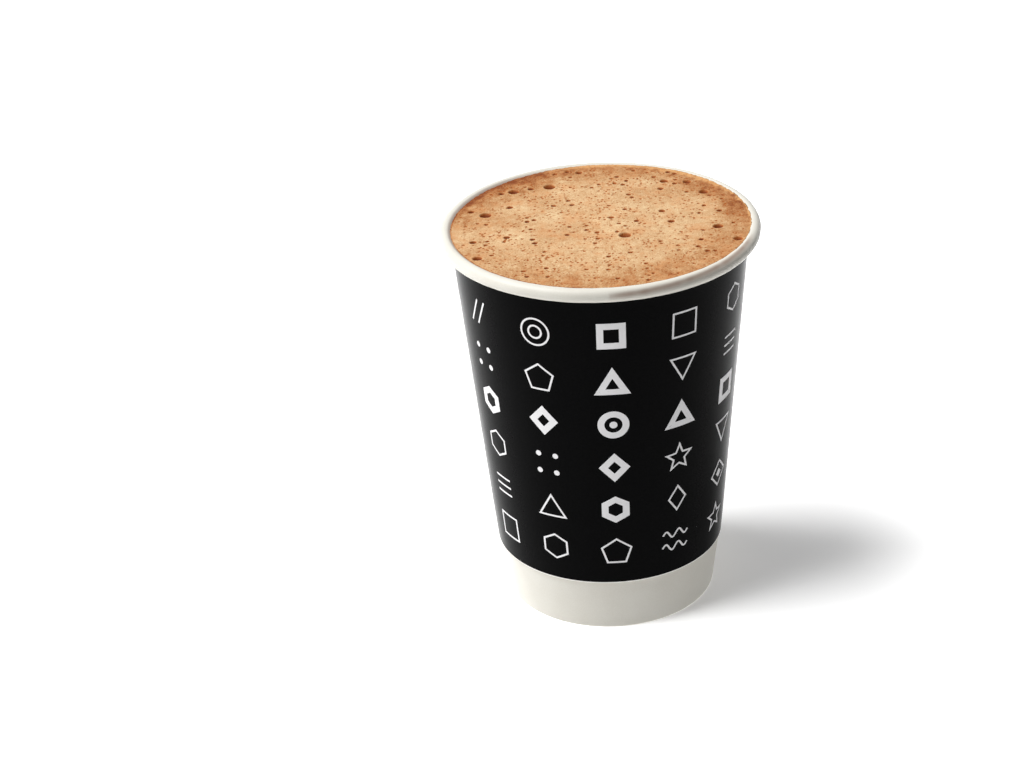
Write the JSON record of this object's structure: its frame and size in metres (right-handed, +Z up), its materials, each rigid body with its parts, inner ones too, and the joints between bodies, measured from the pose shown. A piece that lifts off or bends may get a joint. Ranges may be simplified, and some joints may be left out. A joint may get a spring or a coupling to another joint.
{
  "type": "hot chocolate in a wrapped paper cup",
  "caption": "Frothed hot chocolate filling a white paper cup with a rolled rim and a black printed wrap to the brim.",
  "frame": {"origin": "middle of the foot, on the surface that the cup stands on", "axes": "+Z is up along the cup's axis, and -Y is the front of the printed wrap, whose lapped seam is at the back"},
  "size_m": [0.09, 0.09, 0.1145],
  "materials": {
    "cup_board": "white board, thinly coated, with a soft sheen",
    "base_board": "uncoated white board",
    "printed_board": "satin black print",
    "print_white": "bare board left white in the print",
    "froth": "moist milk froth, light brown, full of small bubbles"
  },
  "bodies": {
    "root": {"paper_cup": "cup_board", "cup_base": "base_board", "outer_wrap": "printed_board", "hot_chocolate": "froth"}
  },
  "joints": []
}
